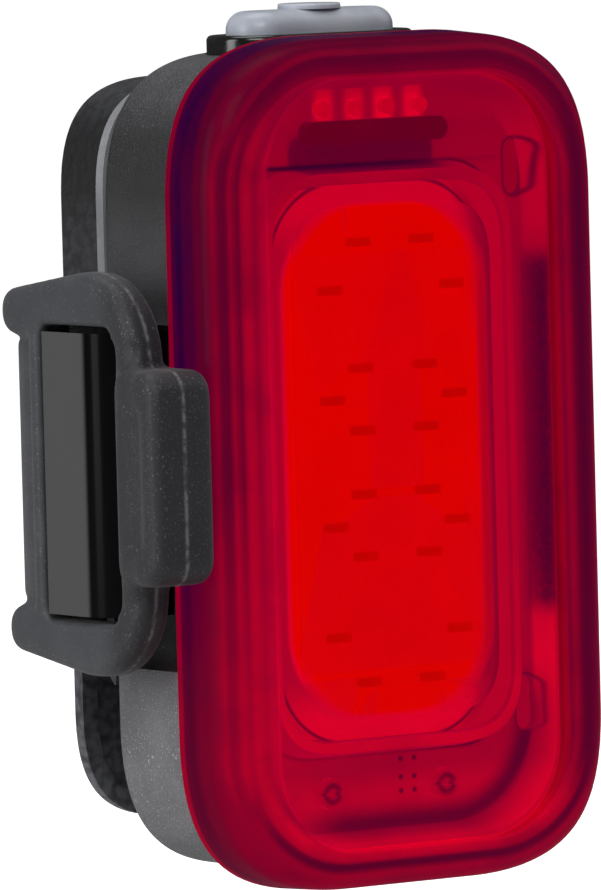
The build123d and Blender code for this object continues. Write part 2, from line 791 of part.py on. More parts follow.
with BuildPart() as socket_tongue:
    with BuildSketch(level(socket_mouth + socket_tongue_setback, socket_forward)):
        Rectangle(socket_tongue_width, socket_tongue_thickness)
    extrude(amount=socket_length - socket_wall - socket_tongue_setback)
finish(socket_tongue, "socket_tongue")

# Battery between the back wall and the board, with its guard board, pad and leads.
battery_z = light_rise + battery_top - battery_height / 2
battery_end = light_rise + battery_top
with BuildPart() as battery_cell:
    with BuildSketch(across(battery_rear, battery_z)):
        RectangleRounded(battery_width, battery_height, battery_corner)
    extrude(amount=battery_thickness)
    fillet(battery_cell.edges().filter_by(Axis.Z), radius=battery_corner)
finish(battery_cell, "battery_cell")

with BuildPart() as battery_pad:
    pad_side = battery_width - 2 * battery_pad_inset
    with BuildSketch(across(cavity_rear, battery_z)):
        Rectangle(pad_side, battery_height - 2 * battery_pad_inset)
    extrude(amount=running_gap)
finish(battery_pad, "battery_pad")

with BuildPart() as battery_guard:
    with BuildSketch(across(battery_rear, battery_end + guard_height / 2)):
        Rectangle(guard_width, guard_height)
    extrude(amount=guard_thickness)
finish(battery_guard, "battery_guard")

with BuildPart() as battery_leads:
    lead_forward = battery_rear + guard_thickness / 2
    lead_bottom = battery_end + guard_height
    for x in (-battery_lead_x, battery_lead_x):
        with BuildLine() as lead_path:
            FilletPolyline(
                (x, -lead_forward, lead_bottom),
                (x, -lead_forward, lead_bottom + battery_lead_rise),
                (x, -board_rear, lead_bottom + battery_lead_rise),
                radius=lead_bend,
            )
        with BuildSketch(Plane(origin=lead_path.line @ 0, z_dir=lead_path.line % 0)):
            Circle(lead_radius)
        sweep(path=lead_path.line)
finish(battery_leads, "battery_leads")

# Button: a soft cap in a bezel, with a stem down to the switch.
with BuildPart() as button_bezel:
    with BuildSketch(level(bezel_floor, button_forward)):
        SlotOverall(bezel_width, bezel_depth)
    extrude(amount=bezel_height)
    fillet(button_bezel.faces().sort_by(Axis.Z)[-1].edges(), radius=bezel_edge_radius)
    with BuildSketch(level(bezel_floor, button_forward)):
        SlotOverall(button_width + 2 * button_gap, button_depth + 2 * button_gap)
    extrude(amount=bezel_height, mode=Mode.SUBTRACT)
finish(button_bezel, "button_bezel")

with BuildPart() as button_cap:
    with BuildSketch(level(cap_bottom, button_forward)):
        SlotOverall(button_width, button_depth)
    extrude(amount=cap_top - cap_bottom)
    fillet(button_cap.faces().sort_by(Axis.Z)[-1].edges(), radius=button_edge_radius)
    with BuildSketch(level(cap_top, button_forward)):
        Circle(button_disc_radius)
    extrude(amount=button_disc_height)
    fillet(button_cap.faces().sort_by(Axis.Z)[-1].edges(), radius=button_disc_edge)
    with BuildSketch(level(cap_bottom, button_forward)):
        Circle(stem_radius)
    extrude(amount=-(cap_bottom - plunger_top - stem_to_plunger_gap))
finish(button_cap, "button_cap")

# Door over the socket, hinged at its rear edge, and the anchor that holds it.
door_top = housing_bottom - door_gap
with BuildPart() as port_door:
    with BuildSketch(level(door_top, door_hinge)):
        with Locations((0, -door_length / 2)):
            Rectangle(door_width, door_length)
    extrude(amount=-door_thickness)
    fillet(port_door.edges().filter_by(Axis.Z).group_by(Axis.Y)[0], radius=door_corner)
    with BuildSketch(Plane.YZ.offset(-door_width / 2)):
        with Locations((-door_hinge, door_top - door_thickness / 2)):
            Circle(door_thickness / 2)
    extrude(amount=door_width)
    with BuildSketch(level(door_top, socket_forward)):
        Rectangle(port_width - 2 * door_plug_gap, port_depth - 2 * door_plug_gap)
    extrude(amount=door_plug_depth)
finish(port_door, "port_door")

with BuildPart() as door_anchor:
    with BuildSketch(level(housing_bottom, door_hinge)):
        Rectangle(anchor_width - slide_gap, anchor_stub - slide_gap)
    extrude(amount=housing_wall)
    with BuildSketch(level(housing_bottom + housing_wall, door_hinge)):
        Rectangle(anchor_width + anchor_lip, anchor_stub + anchor_lip / 2)
    extrude(amount=anchor_head)
finish(door_anchor, "door_anchor")

# Bracket: a sleeve round the tongue, arms along the sides of the housing, and a hook on each arm.
with BuildSketch() as tongue_slot:
    with Locations((0, -(slot_rear + slot_front) / 2)):
        Rectangle(2 * slot_side, slot_front - slot_rear)
    fillet(tongue_slot.vertices().group_by(Axis.Y)[-1], radius=tongue_edge_radius + slide_gap)

rib_depth = block_front - slide_gap - sleeve_front
hook_ends = ((-1, hook_front), (1, anchor_hook_front))
with BuildPart() as strap_bracket:
    with BuildSketch(Plane.XY.offset(-sleeve_top)) as plan:
        with Locations((0, -(sleeve_rear + sleeve_front) / 2)):
            Rectangle(2 * sleeve_side, sleeve_front - sleeve_rear)
        fillet(
            plan.vertices().group_by(Axis.Y)[-1],
            radius=sleeve_corner,
        )
        with Locations((0, -(sleeve_front + rib_depth / 2))):
            with GridLocations(sleeve_rib_spacing, 0, 2, 1):
                Rectangle(sleeve_rib_width, rib_depth)
        for side, nose in hook_ends:
            with BuildLine():
                Polyline(
                    (side * arm_inner, -nose),
                    (side * arm_outer, -nose),
                    (side * arm_outer, -sleeve_front),
                    (side * sleeve_side, -slot_front),
                    (side * arm_inner, -slot_front),
                    close=True,
                )
            make_face()
        add(tongue_slot.sketch, mode=Mode.SUBTRACT)
    extrude(amount=sleeve_height)
    for side, nose in hook_ends:
        with BuildSketch(Plane.XY.offset(-sleeve_top)) as hook:
            with Locations((side * (arm_outer + hook_reach / 2), -(hook_rear + nose) / 2)):
                Rectangle(hook_reach, nose - hook_rear)
            outer_corners = hook.vertices().sort_by(Axis.X)[-2 if side > 0 else 0:][:2].sort_by(Axis.Y)
            fillet(outer_corners[-1], radius=hook_edge_radius)
            outer_corners = hook.vertices().sort_by(Axis.Y)[:2].sort_by(Axis.X)
            fillet(outer_corners[-1 if side > 0 else 0], radius=hook_nose_radius)
        extrude(amount=sleeve_height)
finish(strap_bracket, "strap_bracket")

# Saddle: a rubber pad on the back of the sleeve, hollowed to the post and grooved for grip.
with BuildPart() as post_pad:
    with BuildSketch(Plane.XY.offset(-pad_height / 2)):
        with Locations((0, post_radius / 2 - sleeve_rear)):
            Rectangle(pad_width, post_radius)
        with Locations((0, post_radius)):
            Circle(post_radius, mode=Mode.SUBTRACT)
            with Locations((0, post_radius)):
                Rectangle(pad_width, 2 * post_radius, mode=Mode.SUBTRACT)
    extrude(amount=pad_height)
    fillet(post_pad.edges().filter_by(Axis.Y), radius=pad_edge_radius)
    for index in range(pad_groove_count):
        height = (index - (pad_groove_count - 1) / 2) * pad_groove_pitch
        with BuildSketch(Plane.XY.offset(height - pad_groove_width / 2)):
            with Locations((0, post_radius)):
                Circle(post_radius + pad_groove_depth)
                Circle(post_radius, mode=Mode.SUBTRACT)
        extrude(amount=pad_groove_width, mode=Mode.SUBTRACT)
finish(post_pad, "post_pad")

# Strap, fixed stretch: the right ring, the band round the back, and the end that the head turns on.
bend_left = (-bend_x, -bend_forward)
bend_right = (bend_x, -bend_forward)
with BuildPart() as strap_band:
    add(strap_ring(ring_inner, anchor_hook_front))
    with BuildSketch(Plane.XY.offset(-strap_width / 2)):
        add(strip_sector(bend_right, strap_bend_radius, 0, 90 - bend_turn))
        add(strip_sector((0, bow_y), strap_bow_radius, 90 - bend_turn, 90 + bend_turn))
        add(strip_sector(bend_left, strap_bend_radius, 90 + bend_turn, hinge_angle))
        with Locations((hinge_x, hinge_y)):
            Circle(strap_half + hinge_gap, mode=Mode.SUBTRACT)
    extrude(amount=strap_width)
finish(strap_band, "strap_band")

# Strap, loose stretch: the left ring that comes off its hook, with the pull tab on its front.
with BuildPart() as strap_head:
    add(strap_ring(-ring_outer, hook_front))
    with BuildSketch(Plane.XY.offset(-strap_width / 2)):
        add(strip_sector(bend_left, strap_bend_radius, hinge_angle, 180))
        with Locations((hinge_x, hinge_y)):
            Circle(strap_half)
    extrude(amount=strap_width)
    tab_inner = lens_width / 2 + tab_side_gap
    tab_length = tab_front - ring_front
    with BuildSketch(Plane.YZ.offset(-tab_inner - tab_thickness)) as tab_outline:
        with Locations((-ring_front - tab_length / 2, tab_rise)):
            Rectangle(tab_length, tab_height)
        fillet(tab_outline.vertices().group_by(Axis.X)[0], radius=tab_corner)
        with Locations((-ring_front + tab_root / 2, tab_rise)):
            Rectangle(tab_root, tab_height)
    extrude(amount=tab_thickness)
    tab_rims = strap_head.faces().group_by(Axis.Y)[0].edges()
    fillet(tab_rims, radius=tab_edge_radius)
    with BuildSketch(Plane.YZ.offset(-tab_inner - tab_thickness)):
        with Locations((-tab_front + tab_corner + tab_recess_length / 2, tab_rise)):
            RectangleRounded(tab_recess_length, tab_recess_height, tab_edge_radius)
    extrude(amount=tab_recess_depth, mode=Mode.SUBTRACT)
finish(strap_head, "strap_head")
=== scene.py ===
from math import cos, pi, radians, sin

import bpy
from mathutils import Matrix, Vector


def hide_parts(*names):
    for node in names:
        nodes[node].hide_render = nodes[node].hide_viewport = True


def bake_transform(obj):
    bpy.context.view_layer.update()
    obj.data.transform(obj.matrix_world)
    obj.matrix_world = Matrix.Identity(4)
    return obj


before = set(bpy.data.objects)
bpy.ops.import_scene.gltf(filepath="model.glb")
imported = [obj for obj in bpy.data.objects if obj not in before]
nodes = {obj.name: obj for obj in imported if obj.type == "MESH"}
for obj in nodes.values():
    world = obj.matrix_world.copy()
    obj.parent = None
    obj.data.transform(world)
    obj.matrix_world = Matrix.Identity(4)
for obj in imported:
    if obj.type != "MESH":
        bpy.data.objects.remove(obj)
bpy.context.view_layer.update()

mm = 0.001
same_spot = 0.002 * mm

# Outlines round the light's middle, seen from the front: half width, half height and corner in millimetres
light_middle = 0.1
lens_edge = (17.5, 31.0, 11.0)
lens_window = (13.0, 28.0, 7.0)
tub_inside = (14.95, 28.45, 6.5)
tray_floor = (13.5, 27.0, 8.0)
tray_fold = (13.4, 27.1, 7.5)
platform_edge = (11.4, 21.5, 4.5)
slot_edge = (0.9, 2.1, 0.9)
panel_window = (9.4, 20.3, 5.8)
gel_edge = (8.55, 18.6, 6.4)
screw_recess = (0.45, 0.45, 0.44)
slot_x, high_slot_z, low_slot_z = 12.9, 20.7, -18.8
screw_x, screw_z = 5.1, -24.1
lamp_half_pitch = 1.315

# Share of blue in the painted red glow: behind the lens, which filters it, and in the lens itself
behind_lens, in_lens = 0.2, 0.018


# Small helpers for modelling and for wiring materials

def calm():
    """Leave edit mode and select nothing."""
    if bpy.context.object and bpy.context.object.mode != "OBJECT":
        bpy.ops.object.mode_set(mode="OBJECT")
    bpy.ops.object.select_all(action="DESELECT")


def only(piece):
    """Make one piece the selected and active one."""
    calm()
    piece.select_set(True)
    bpy.context.view_layer.objects.active = piece


def settle(piece):
    """Put the piece's place and turn into its mesh."""
    only(piece)
    bpy.ops.object.transform_apply(location=True, rotation=True, scale=True)


def finish_modifiers(piece):
    """Apply every modifier of a piece."""
    only(piece)
    for modifier in list(piece.modifiers):
        bpy.ops.object.modifier_apply(modifier=modifier.name)


def copy_of(node, name):
    """A copy of a CAD node with its loose triangles merged."""
    piece = nodes[node].copy()
    piece.data = nodes[node].data.copy()
    piece.name = piece.data.name = name
    for key in list(piece.keys()):
        del piece[key]
    bpy.context.scene.collection.objects.link(piece)
    piece.parent = None
    only(piece)
    bpy.ops.object.mode_set(mode="EDIT")
    bpy.ops.mesh.select_all(action="SELECT")
    bpy.ops.mesh.remove_doubles(threshold=same_spot)
    bpy.ops.object.mode_set(mode="OBJECT")
    return piece


def join(pieces, name):
    """Join pieces into the first one."""
    calm()
    for piece in pieces:
        piece.select_set(True)
    bpy.context.view_layer.objects.active = pieces[0]
    bpy.ops.object.join()
    pieces[0].name = pieces[0].data.name = name
    return pieces[0]


def new_group(name, inputs, outputs):
    """Shader node group with named inputs and outputs."""
    group = bpy.data.node_groups.new(name, "ShaderNodeTree")
    for label, kind, value in inputs:
        socket = group.interface.new_socket(name=label, in_out="INPUT", socket_type=kind)
        if value is not None:
            socket.default_value = value
    for label, kind in outputs:
        group.interface.new_socket(name=label, in_out="OUTPUT", socket_type=kind)
    return group, group.nodes.new("NodeGroupInput"), group.nodes.new("NodeGroupOutput")


def maths(tree, operation, first, second=None, third=None):
    """Math node fed by sockets or numbers."""
    node = tree.nodes.new("ShaderNodeMath")
    node.operation = operation
    for slot, value in enumerate((first, second, third)):
        if value is None:
            continue
        if isinstance(value, (int, float)):
            node.inputs[slot].default_value = value
        else:
            tree.links.new(value, node.inputs[slot])
    return node.outputs[0]


def mapped(tree, value, low, high, to_low=0.0, to_high=1.0):
    """Map Range node, clamped and smooth."""
    node = tree.nodes.new("ShaderNodeMapRange")
    node.interpolation_type = "SMOOTHSTEP"
    tree.links.new(value, node.inputs["Value"])
    for label, number in (("From Min", low), ("From Max", high), ("To Min", to_low), ("To Max", to_high)):
        node.inputs[label].default_value = number
    return node.outputs["Result"]


def blended(tree, factor, first, second):
    """Mix of two colours, each a socket or a tuple."""
    node = tree.nodes.new("ShaderNodeMix")
    node.data_type = "RGBA"
    for label, value in ((0, factor), (6, first), (7, second)):
        if isinstance(value, (tuple, float, int)):
            node.inputs[label].default_value = (*value, 1.0) if isinstance(value, tuple) else value
        else:
            tree.links.new(value, node.inputs[label])
    return node.outputs[2]


def noise_value(tree, place, scale, detail=2.0, roughness=0.5):
    """Noise texture on a place, in cycles per metre."""
    node = tree.nodes.new("ShaderNodeTexNoise")
    node.inputs["Scale"].default_value = scale
    node.inputs["Detail"].default_value = detail
    node.inputs["Roughness"].default_value = roughness
    tree.links.new(place, node.inputs["Vector"])
    return node.outputs["Fac"]


def axes(tree, place):
    """The X, Y and Z of a place, in metres."""
    parts = tree.nodes.new("ShaderNodeSeparateXYZ")
    tree.links.new(place, parts.inputs[0])
    return parts.outputs["X"], parts.outputs["Y"], parts.outputs["Z"]


def in_mm(tree, value, sign=1.0):
    """A length in metres as millimetres."""
    return maths(tree, "MULTIPLY", value, sign / mm)


# Shared effects

def build_grain():
    """Spark-eroded mould grain: a height, and a mask for tiny glints, which are painted highlights."""
    group, inside, outside = new_group(
        "mould_grain",
        [("Place", "NodeSocketVector", None), ("Scale", "NodeSocketFloat", 5000.0)],
        [("Height", "NodeSocketFloat"), ("Glints", "NodeSocketFloat")],
    )
    fine = group.nodes.new("ShaderNodeTexNoise")
    fine.inputs["Detail"].default_value = 3.0
    fine.inputs["Roughness"].default_value = 0.6
    group.links.new(inside.outputs["Place"], fine.inputs["Vector"])
    group.links.new(inside.outputs["Scale"], fine.inputs["Scale"])
    group.links.new(fine.outputs["Fac"], outside.inputs["Height"])
    group.links.new(mapped(group, fine.outputs["Fac"], 0.56, 0.72), outside.inputs["Glints"])
    return group


def build_specks():
    """Pale dust specks of uneven size, and a soft cloudy unevenness."""
    group, inside, outside = new_group(
        "dust",
        [
            ("Place", "NodeSocketVector", None), ("Scale", "NodeSocketFloat", 2600.0),
            ("Amount", "NodeSocketFloat", 0.1),
        ],
        [("Specks", "NodeSocketFloat"), ("Cloud", "NodeSocketFloat")],
    )
    cells = group.nodes.new("ShaderNodeTexVoronoi")
    cells.feature = "F1"
    group.links.new(inside.outputs["Place"], cells.inputs["Vector"])
    group.links.new(inside.outputs["Scale"], cells.inputs["Scale"])
    parts = group.nodes.new("ShaderNodeSeparateColor")
    group.links.new(cells.outputs["Color"], parts.inputs["Color"])
    keep = maths(group, "LESS_THAN", parts.outputs["Red"], inside.outputs["Amount"])
    size = maths(group, "MULTIPLY_ADD", parts.outputs["Green"], 0.28, 0.14)
    near = maths(group, "LESS_THAN", cells.outputs["Distance"], size)
    group.links.new(maths(group, "MULTIPLY", keep, near), outside.inputs["Specks"])
    cloud = noise_value(group, inside.outputs["Place"], 260.0, 4.0, 0.6)
    group.links.new(mapped(group, cloud, 0.35, 0.68), outside.inputs["Cloud"])
    return group


def build_outline():
    """Distance in millimetres to a rounded outline on the XZ plane, negative inside it."""
    group, inside, outside = new_group(
        "outline_distance",
        [
            ("Place", "NodeSocketVector", None), ("Half Width", "NodeSocketFloat", 10.0),
            ("Half Height", "NodeSocketFloat", 20.0), ("Corner", "NodeSocketFloat", 5.0),
            ("Middle", "NodeSocketFloat", light_middle),
        ],
        [("Distance", "NodeSocketFloat")],
    )
    across, _, high = axes(group, inside.outputs["Place"])
    corner = inside.outputs["Corner"]
    wide = maths(group, "ABSOLUTE", in_mm(group, across))
    tall = maths(group, "SUBTRACT", in_mm(group, high), inside.outputs["Middle"])
    tall = maths(group, "ABSOLUTE", tall)
    over_x = maths(group, "SUBTRACT", wide, maths(group, "SUBTRACT", inside.outputs["Half Width"], corner))
    over_z = maths(group, "SUBTRACT", tall, maths(group, "SUBTRACT", inside.outputs["Half Height"], corner))
    far_x, far_z = maths(group, "MAXIMUM", over_x, 0.0), maths(group, "MAXIMUM", over_z, 0.0)
    squared = maths(group, "MULTIPLY_ADD", far_x, far_x, maths(group, "MULTIPLY", far_z, far_z))
    reach = maths(group, "SQRT", squared)
    deep = maths(group, "MINIMUM", maths(group, "MAXIMUM", over_x, over_z), 0.0)
    total = maths(group, "SUBTRACT", maths(group, "ADD", reach, deep), corner)
    group.links.new(total, outside.inputs["Distance"])
    return group


mould_grain = build_grain()
outline_distance = build_outline()
dust = build_specks()


def fresh_material(name):
    """New material with its Principled shader and a place to read."""
    material = bpy.data.materials.new(name)
    material.use_nodes = True
    tree = material.node_tree
    shader = tree.nodes["Principled BSDF"]
    place = tree.nodes.new("ShaderNodeTexCoord").outputs["Object"]
    return material, tree, shader, place


def use_group(tree, group, place, **values):
    """Place a shared effect in a material."""
    node = tree.nodes.new("ShaderNodeGroup")
    node.node_tree = group
    tree.links.new(place, node.inputs["Place"])
    for label, value in values.items():
        node.inputs[label].default_value = value
    return node


def outline(tree, place, sizes):
    """Distance in millimetres to a rounded outline round the light's middle."""
    node = use_group(tree, outline_distance, place)
    for label, number in zip(("Half Width", "Half Height", "Corner"), sizes):
        node.inputs[label].default_value = number
    return node.outputs["Distance"]


def ramp(tree, value, low, high, stops):
    """Colour ramp over a range of values."""
    node = tree.nodes.new("ShaderNodeValToRGB")
    marks = node.color_ramp.elements
    while len(marks) < len(stops):
        marks.new(0.5)
    for mark, (at, colour) in zip(marks, stops):
        mark.position = (at - low) / (high - low)
        mark.color = (*colour, 1.0)
    scaled = tree.nodes.new("ShaderNodeMapRange")
    tree.links.new(value, scaled.inputs["Value"])
    scaled.inputs["From Min"].default_value = low
    scaled.inputs["From Max"].default_value = high
    tree.links.new(scaled.outputs["Result"], node.inputs["Fac"])
    return node.outputs["Color"]


def bumped(tree, shader, height, strength, depth):
    """Bump from a height into the shader, with its depth in millimetres."""
    bump = tree.nodes.new("ShaderNodeBump")
    bump.inputs["Strength"].default_value = strength
    bump.inputs["Distance"].default_value = depth * mm
    tree.links.new(height, bump.inputs["Height"])
    tree.links.new(bump.outputs["Normal"], shader.inputs["Normal"])


def painted_light_by_height(tree, place, tone):
    """Painted light and shade: a tone made paler low down and deeper black under the top edge, as the
    studio light leaves it.
    """
    _, _, high = axes(tree, place)
    level = ramp(tree, in_mm(tree, high), -30.0, 30.0, [
        (at, (share, share, share)) for at, share in
        ((-29.0, 0.6), (-26.0, 0.68), (-14.0, 0.6), (-12.5, 0.22), (12.0, 0.22), (17.0, 0.17),
         (20.0, 0.07), (24.0, 0.07), (27.0, 0.2), (30.0, 0.26))])
    product = tree.nodes.new("ShaderNodeVectorMath")
    product.operation = "MULTIPLY"
    tree.links.new(tone, product.inputs[0])
    tree.links.new(level, product.inputs[1])
    raised = tree.nodes.new("ShaderNodeVectorMath")
    raised.operation = "SCALE"
    tree.links.new(product.outputs[0], raised.inputs[0])
    raised.inputs["Scale"].default_value = 7.2
    return raised.outputs[0]


# Materials

def build_housing_grain():
    """Black moulded plastic with grain, painted glints and dust, painted light and shade by height, and a
    painted red glow in the tub behind the tray's slots.
    """
    material, tree, shader, place = fresh_material("housing_grain")
    pale = (0.12, 0.12, 0.126)
    grain = use_group(tree, mould_grain, place, Scale=7600.0)
    dirt = use_group(tree, dust, place, Scale=3400.0, Amount=0.04)
    # pale at the grain's peaks: painted glints
    tone = blended(tree, grain.outputs["Glints"], (0.034, 0.034, 0.037), pale)
    veil = maths(tree, "MULTIPLY", dirt.outputs["Cloud"], 0.12)
    tone = blended(tree, veil, tone, pale)
    tone = blended(tree, maths(tree, "MULTIPLY", dirt.outputs["Specks"], 0.5), tone, (0.16, 0.16, 0.165))
    # painted light and shade: paler low down, deeper black under the top edge
    tone = painted_light_by_height(tree, place, tone)
    tree.links.new(tone, shader.inputs["Base Color"])
    tree.links.new(mapped(tree, grain.outputs["Height"], 0.3, 0.7, 0.38, 0.55), shader.inputs["Roughness"])
    bumped(tree, shader, grain.outputs["Height"], 1.7, 0.05)
    # painted red glow on the tub's inside near the tray's slots
    _, ahead, high = axes(tree, place)
    deep = mapped(tree, ahead, -9.0 * mm, -9.2 * mm)
    tub = mapped(tree, outline(tree, place, tub_inside), 0.0, -0.05)
    near_slots = mapped(tree, maths(tree, "ABSOLUTE", high), 15.6 * mm, 15.8 * mm)
    tub = maths(tree, "MULTIPLY", tub, near_slots)
    lit = blended(tree, maths(tree, "MULTIPLY", deep, tub), (0.0, 0.0, 0.0), (0.3, 0.0, 0.17))
    tree.links.new(lit, shader.inputs["Emission Color"])
    shader.inputs["Emission Strength"].default_value = 1.0
    return material


housing_grain = build_housing_grain()


def build_leather_grain():
    """The clip's moulding: pebbled like leather, with painted light and shade by height."""
    material, tree, shader, place = fresh_material("clip_pebble")
    cells = tree.nodes.new("ShaderNodeTexVoronoi")
    cells.feature = "SMOOTH_F1"
    cells.inputs["Scale"].default_value = 1500.0
    warp = tree.nodes.new("ShaderNodeVectorMath")
    warp.operation = "MULTIPLY_ADD"
    wander = tree.nodes.new("ShaderNodeTexNoise")
    wander.inputs["Scale"].default_value = 900.0
    tree.links.new(place, wander.inputs["Vector"])
    tree.links.new(wander.outputs["Color"], warp.inputs[0])
    warp.inputs[1].default_value = (0.6 * mm, 0.6 * mm, 0.6 * mm)
    tree.links.new(place, warp.inputs[2])
    tree.links.new(warp.outputs[0], cells.inputs["Vector"])
    fine = noise_value(tree, place, 4200.0, 3.0, 0.6)
    height = maths(tree, "ADD", cells.outputs["Distance"], maths(tree, "MULTIPLY", fine, 0.5))
    tone = blended(tree, mapped(tree, height, 0.45, 1.0), (0.03, 0.031, 0.034), (0.010, 0.010, 0.012))
    # painted light and shade: paler low down, deeper black under the top edge
    tree.links.new(painted_light_by_height(tree, place, tone), shader.inputs["Base Color"])
    tree.links.new(mapped(tree, height, 0.3, 1.0, 0.36, 0.55), shader.inputs["Roughness"])
    bumped(tree, shader, height, 0.8, 0.09)
    return material


clip_pebble = build_leather_grain()


def build_strap_rubber():
    """Matte rubber with pale dust and a broken moulding line, darker on the pull tab."""
    material, tree, shader, _ = fresh_material("strap_rubber")
    rest = tree.nodes.new("ShaderNodeAttribute")
    rest.attribute_name = "rest_place"
    place = rest.outputs["Vector"]
    dirt = use_group(tree, dust, place, Scale=4600.0, Amount=0.13)
    finer = use_group(tree, dust, place, Scale=8200.0, Amount=0.2)
    grain = use_group(tree, mould_grain, place, Scale=4200.0)
    tone = blended(tree, dirt.outputs["Cloud"], (0.036, 0.039, 0.045), (0.052, 0.055, 0.062))
    _, ahead, _ = axes(tree, place)
    on_tab = mapped(tree, ahead, -14.5 * mm, -17.0 * mm, 0.0, 0.78)
    tone = blended(tree, on_tab, tone, (0.008, 0.008, 0.012))
    specks = maths(tree, "MAXIMUM", dirt.outputs["Specks"], finer.outputs["Specks"])
    tone = blended(tree, maths(tree, "MULTIPLY", specks, 0.4), tone, (0.2, 0.2, 0.205))
    line = tree.nodes.new("ShaderNodeAttribute")
    line.attribute_name = "moulding_line"
    broken = mapped(tree, noise_value(tree, place, 1400.0, 2.0), 0.36, 0.6)
    line_mask = maths(tree, "MULTIPLY", line.outputs["Fac"], maths(tree, "MULTIPLY_ADD", broken, 0.6, 0.12))
    tone = blended(tree, line_mask, tone, (0.26, 0.26, 0.27))
    tree.links.new(tone, shader.inputs["Base Color"])
    tree.links.new(mapped(tree, grain.outputs["Height"], 0.3, 0.7, 0.5, 0.66), shader.inputs["Roughness"])
    shader.inputs["Sheen Weight"].default_value = 0.12
    shader.inputs["Sheen Roughness"].default_value = 0.5
    bumped(tree, shader, grain.outputs["Height"], 0.35, 0.04)
    return material


strap_rubber = build_strap_rubber()


def plain_rubber(name, colour, pale):
    """Matte rubber for the small hidden parts and the saddle."""
    material, tree, shader, place = fresh_material(name)
    dirt = use_group(tree, dust, place, Scale=3200.0, Amount=0.06)
    tone = blended(tree, dirt.outputs["Cloud"], colour, pale)
    tone = blended(tree, maths(tree, "MULTIPLY", dirt.outputs["Specks"], 0.4), tone, (0.2, 0.2, 0.2))
    tree.links.new(tone, shader.inputs["Base Color"])
    grain = use_group(tree, mould_grain, place, Scale=4000.0)
    tree.links.new(mapped(tree, grain.outputs["Height"], 0.3, 0.7, 0.55, 0.75), shader.inputs["Roughness"])
    bumped(tree, shader, grain.outputs["Height"], 0.3, 0.04)
    return material


black_rubber = plain_rubber("black_rubber", (0.016, 0.016, 0.017), (0.03, 0.03, 0.032))
grey_gasket = plain_rubber("grey_gasket", (0.2, 0.205, 0.22), (0.28, 0.285, 0.3))


def build_bracket_plastic():
    """Bracket: satin where the hook is flat, polished where its nose turns. The flat face is painted paler
    where the light falls on it, and the nose, black itself, is painted darker still as a dark reflection; a
    painted highlight runs along the face's rear edge.
    """
    material, tree, shader, place = fresh_material("bracket_plastic")
    grain = use_group(tree, mould_grain, place, Scale=4600.0)
    dirt = use_group(tree, dust, place, Scale=2800.0, Amount=0.03)
    across, ahead, _ = axes(tree, place)
    on_face = mapped(tree, maths(tree, "ABSOLUTE", across), 21.95 * mm, 21.995 * mm)
    on_face = maths(tree, "MULTIPLY", on_face, mapped(tree, ahead, -13.4 * mm, -12.7 * mm))
    # painted light and shade: the flat face paler where lit, the polished nose near black as a dark
    # reflection
    tone = blended(tree, on_face, (0.003, 0.003, 0.0035), (0.088, 0.088, 0.09))
    # painted highlight along the rear edge of the hook's face
    painted_edge_highlight = maths(tree, "MULTIPLY", on_face, mapped(tree, ahead, -7.75 * mm, -7.5 * mm, 0.0, 0.8))
    tone = blended(tree, painted_edge_highlight, tone, (0.4, 0.41, 0.43))
    specks = maths(tree, "MULTIPLY", dirt.outputs["Specks"], maths(tree, "MULTIPLY", on_face, 0.3))
    tone = blended(tree, specks, tone, (0.15, 0.15, 0.15))
    tree.links.new(tone, shader.inputs["Base Color"])
    shader.inputs["Specular IOR Level"].default_value = 0.05
    satin = maths(tree, "MULTIPLY_ADD", on_face, 0.3, 0.14)
    rough = maths(tree, "MULTIPLY_ADD", grain.outputs["Height"], 0.06, satin)
    tree.links.new(rough, shader.inputs["Roughness"])
    bumped(tree, shader, maths(tree, "MULTIPLY", grain.outputs["Height"], on_face), 0.25, 0.03)
    return material


bracket_plastic = build_bracket_plastic()


def steady(level, blue=in_lens):
    """Colour of a red glow at one level."""
    return (level, 0.0, blue)


def beside(tree, place, x, z=0.0, mirrored=False):
    """Place seen from a spot on the XZ plane, in metres. Mirrored takes both sides as one."""
    across, _, high = axes(tree, place)
    joined = tree.nodes.new("ShaderNodeCombineXYZ")
    if mirrored:
        across = maths(tree, "ABSOLUTE", across)
    tree.links.new(maths(tree, "SUBTRACT", across, x * mm), joined.inputs["X"])
    tree.links.new(maths(tree, "SUBTRACT", high, z * mm), joined.inputs["Z"])
    return joined.outputs[0]


